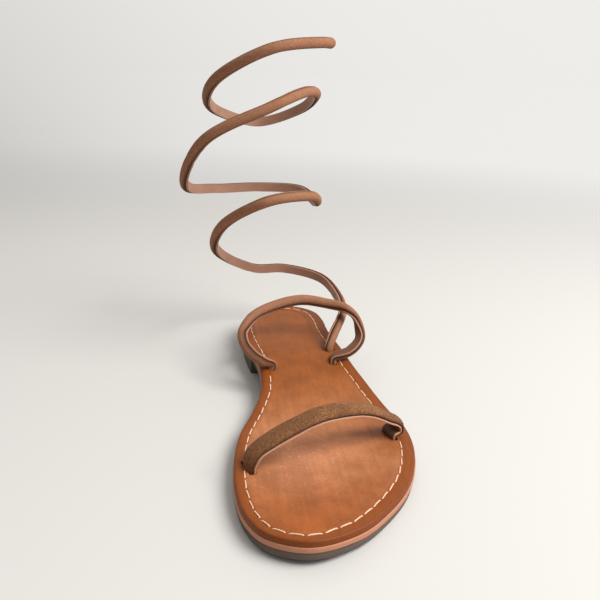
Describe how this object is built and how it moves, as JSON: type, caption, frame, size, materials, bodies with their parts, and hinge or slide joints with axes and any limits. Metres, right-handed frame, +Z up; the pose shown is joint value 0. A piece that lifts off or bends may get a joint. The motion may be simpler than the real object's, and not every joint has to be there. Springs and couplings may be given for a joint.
{
  "type": "gladiator sandal",
  "caption": "Flat leather sandal for the left foot: layered sole with a low heel, a domed toe strap, an ankle loop and a springy strap that coils up the leg",
  "frame": {"origin": "On the floor, under the middle of the heel", "axes": "+Z up, -Y towards the toe, +X towards the outer side of the left foot"},
  "size_m": [0.1201, 0.2724, 0.2006],
  "materials": {
    "outsole_rubber": "matt taupe synthetic rubber with ground edges",
    "heel_rubber": "matt dark olive heel rubber",
    "midsole_leather": "raw cut edge of pinkish tan leather board",
    "footbed_leather": "smooth vegetable tanned leather with a satin finish and a burnished border",
    "toe_suede": "brushed olive brown suede over a light lining",
    "leg_suede": "brushed rosy brown suede over a light lining"
  },
  "bodies": {
    "root": {"outsole": "outsole_rubber", "heel": "heel_rubber", "midsole": "midsole_leather", "insole": "footbed_leather", "toe_strap": "toe_suede", "ankle_strap": "leg_suede", "leg_coil": "leg_suede"}
  },
  "joints": []
}
